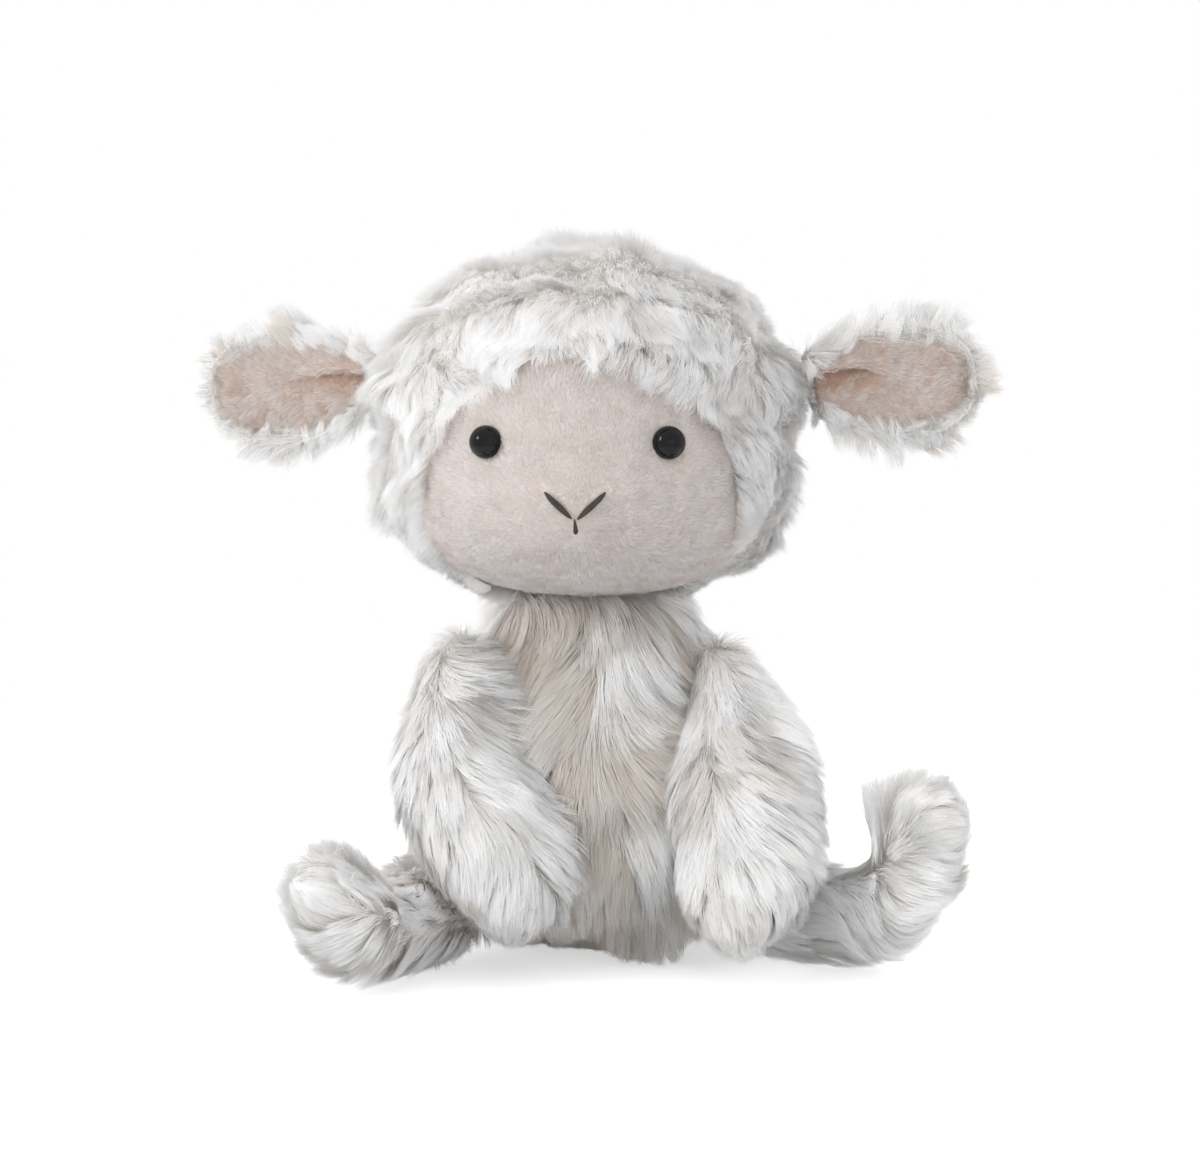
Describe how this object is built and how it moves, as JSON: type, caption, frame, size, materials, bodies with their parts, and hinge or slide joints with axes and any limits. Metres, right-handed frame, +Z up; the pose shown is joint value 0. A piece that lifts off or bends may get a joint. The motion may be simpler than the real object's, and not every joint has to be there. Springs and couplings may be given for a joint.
{
  "type": "plush sheep",
  "caption": "Sitting soft toy sheep with long white fur, a short-pile face, domed eyes, sideways ears, and a head, ears, arms, legs and tail that move.",
  "frame": {"origin": "centre of the flat under the seat, on the floor and under the neck's axis", "axes": "+Z up, the face looks along -Y, the sheep's own left is +X"},
  "size_m": [0.2284, 0.1718, 0.2062],
  "materials": {
    "fur": "white long-pile plush, brushed into soft locks, warm grey in the folds",
    "face_plush": "pale beige-pink short pile",
    "ear_plush": "dusky pink short pile",
    "eye_black": "glossy black dome",
    "thread": "black-brown embroidery thread",
    "fibre": "loose white polyester fibre",
    "pouch_cloth": "thin off-white cloth, filled with pellets",
    "washer_plastic": "white plastic lock washer"
  },
  "bodies": {
    "body": {"body_front": "fur", "body_back": "fur", "body_stuffing": "fibre", "pellet_pouch": "pouch_cloth"},
    "head": {"left_head_side": "fur", "right_head_side": "fur", "head_gusset": "fur", "face_panel": "face_plush", "head_stuffing": "fibre", "left_eye": "eye_black", "left_eye_washer": "washer_plastic", "right_eye": "eye_black", "right_eye_washer": "washer_plastic", "nose_stitch_left": "thread", "nose_stitch_right": "thread", "mouth_stitch": "thread"},
    "left_ear": {"left_ear_back": "fur", "left_ear_lining": "ear_plush"},
    "right_ear": {"right_ear_back": "fur", "right_ear_lining": "ear_plush"},
    "left_arm": {"left_arm_sleeve": "fur", "left_arm_stuffing": "fibre"},
    "right_arm": {"right_arm_sleeve": "fur", "right_arm_stuffing": "fibre"},
    "left_leg": {"left_leg_sleeve": "fur", "left_leg_stuffing": "fibre"},
    "right_leg": {"right_leg_sleeve": "fur", "right_leg_stuffing": "fibre"},
    "tail": {"tail": "fur"}
  },
  "joints": [
    {"name": "head_turn", "type": "hinge", "parent": "body", "child": "head", "pos_m": [0, 0, 0.106], "axis": [0, 0, 1], "range_deg": [-25, 25], "stiffness_Nm_per_rad": 0.06},
    {"name": "left_ear_flap", "type": "hinge", "parent": "head", "child": "left_ear", "pos_m": [0.06023, -0.00391, 0.16743], "axis": [0, 0, 1], "range_deg": [-25, 25], "stiffness_Nm_per_rad": 0.004},
    {"name": "right_ear_flap", "type": "hinge", "parent": "head", "child": "right_ear", "pos_m": [-0.06023, -0.00391, 0.16743], "axis": [0, 0, -1], "range_deg": [-25, 25], "stiffness_Nm_per_rad": 0.004},
    {"name": "left_arm_raise", "type": "hinge", "parent": "body", "child": "left_arm", "pos_m": [0.03478, -0.0086, 0.0954], "axis": [-1, 0, 0], "range_deg": [0, 50]},
    {"name": "right_arm_raise", "type": "hinge", "parent": "body", "child": "right_arm", "pos_m": [-0.03478, -0.0086, 0.0954], "axis": [-1, 0, 0], "range_deg": [0, 50]},
    {"name": "left_leg_swing", "type": "hinge", "parent": "body", "child": "left_leg", "pos_m": [0.0329, -0.0129, 0.0155], "axis": [0, 0, 1], "range_deg": [0, 30]},
    {"name": "right_leg_swing", "type": "hinge", "parent": "body", "child": "right_leg", "pos_m": [-0.0329, -0.0129, 0.0155], "axis": [0, 0, -1], "range_deg": [0, 30]},
    {"name": "tail_wag", "type": "hinge", "parent": "body", "child": "tail", "pos_m": [0, 0.0368, 0.02544], "axis": [0, 0, 1], "range_deg": [-25, 25], "stiffness_Nm_per_rad": 0.004}
  ]
}
